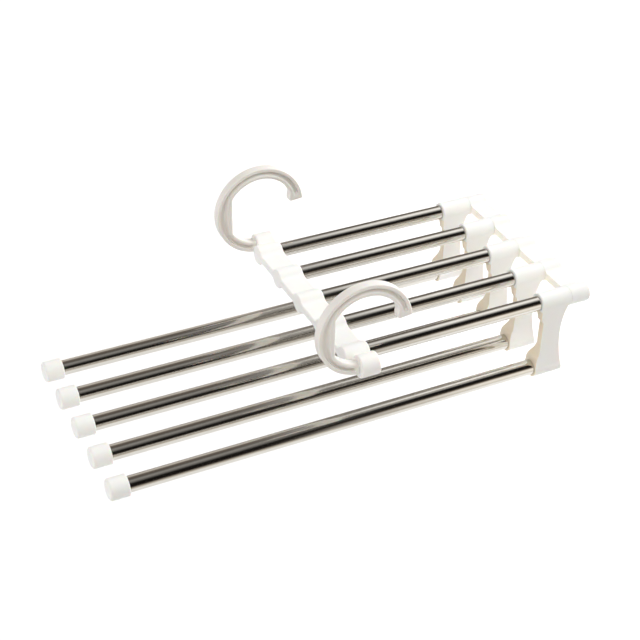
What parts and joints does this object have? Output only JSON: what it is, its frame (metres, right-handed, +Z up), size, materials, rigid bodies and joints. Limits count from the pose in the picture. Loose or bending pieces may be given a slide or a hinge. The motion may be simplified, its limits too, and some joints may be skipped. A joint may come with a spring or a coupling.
{
  "type": "trouser rack",
  "caption": "Telescopic trouser rack with swivelling C-hooks, white moulded bars, steel rail tubes and hanging rods on brackets that slide and swing.",
  "frame": {"origin": "Midway between the two hooks, on the line along which they rest on a wardrobe rail.", "axes": "+X runs along the rail tubes from the hook bar to the end bar, +Y across the arms to the far arm 1, +Z up."},
  "size_m": [0.3185, 0.161, 0.1125],
  "materials": {
    "white_plastic": "satin, injection moulded, warm white",
    "polished_steel": "polished stainless steel tube",
    "zinc_steel": "zinc plated"
  },
  "bodies": {
    "frame": {"hook_bar": "white_plastic", "end_bar": "white_plastic"},
    "near_hook": {"hook_near": "white_plastic", "hook_washer_near": "zinc_steel", "hook_screw_near": "zinc_steel"},
    "far_hook": {"hook_far": "white_plastic", "hook_washer_far": "zinc_steel", "hook_screw_far": "zinc_steel"},
    "tube_1": {"rail_tube_1": "polished_steel"},
    "tube_2": {"rail_tube_2": "polished_steel"},
    "tube_3": {"rail_tube_3": "polished_steel"},
    "tube_4": {"rail_tube_4": "polished_steel"},
    "tube_5": {"rail_tube_5": "polished_steel"},
    "arm_1": {"arm_bracket_1": "white_plastic", "hanging_rod_1": "polished_steel", "rod_cap_1": "white_plastic"},
    "arm_2": {"arm_bracket_2": "white_plastic", "hanging_rod_2": "polished_steel", "rod_cap_2": "white_plastic"},
    "arm_3": {"arm_bracket_3": "white_plastic", "hanging_rod_3": "polished_steel", "rod_cap_3": "white_plastic"},
    "arm_4": {"arm_bracket_4": "white_plastic", "hanging_rod_4": "polished_steel", "rod_cap_4": "white_plastic"},
    "arm_5": {"arm_bracket_5": "white_plastic", "hanging_rod_5": "polished_steel", "rod_cap_5": "white_plastic"}
  },
  "joints": [
    {"name": "near_hook_swivel", "type": "hinge", "parent": "frame", "child": "near_hook", "pos_m": [0, -0.0735, -0.04925], "axis": [1, 0, 0], "range_deg": [-25, 90]},
    {"name": "far_hook_swivel", "type": "hinge", "parent": "frame", "child": "far_hook", "pos_m": [0, 0.0735, -0.04925], "axis": [1, 0, 0], "range_deg": [-90, 25]},
    {"name": "arm_1_swing", "type": "hinge", "parent": "frame", "child": "tube_1", "pos_m": [0, 0.061, -0.04925], "axis": [1, 0, 0], "range_deg": [-20, 120]},
    {"name": "arm_2_swing", "type": "hinge", "parent": "frame", "child": "tube_2", "pos_m": [0, 0.0305, -0.04925], "axis": [1, 0, 0], "range_deg": [-20, 20]},
    {"name": "arm_3_swing", "type": "hinge", "parent": "frame", "child": "tube_3", "pos_m": [0, 0, -0.04925], "axis": [1, 0, 0], "range_deg": [-20, 20]},
    {"name": "arm_4_swing", "type": "hinge", "parent": "frame", "child": "tube_4", "pos_m": [0, -0.0305, -0.04925], "axis": [1, 0, 0], "range_deg": [-20, 20]},
    {"name": "arm_5_swing", "type": "hinge", "parent": "frame", "child": "tube_5", "pos_m": [0, -0.061, -0.04925], "axis": [1, 0, 0], "range_deg": [-120, 20]},
    {"name": "arm_1_slide", "type": "slide", "parent": "tube_1", "child": "arm_1", "axis": [-1, 0, 0], "range_m": [0, 0.1197]},
    {"name": "arm_2_slide", "type": "slide", "parent": "tube_2", "child": "arm_2", "axis": [-1, 0, 0], "range_m": [0, 0.1197]},
    {"name": "arm_3_slide", "type": "slide", "parent": "tube_3", "child": "arm_3", "axis": [-1, 0, 0], "range_m": [0, 0.1197]},
    {"name": "arm_4_slide", "type": "slide", "parent": "tube_4", "child": "arm_4", "axis": [-1, 0, 0], "range_m": [0, 0.1197]},
    {"name": "arm_5_slide", "type": "slide", "parent": "tube_5", "child": "arm_5", "axis": [-1, 0, 0], "range_m": [0, 0.1197]}
  ]
}
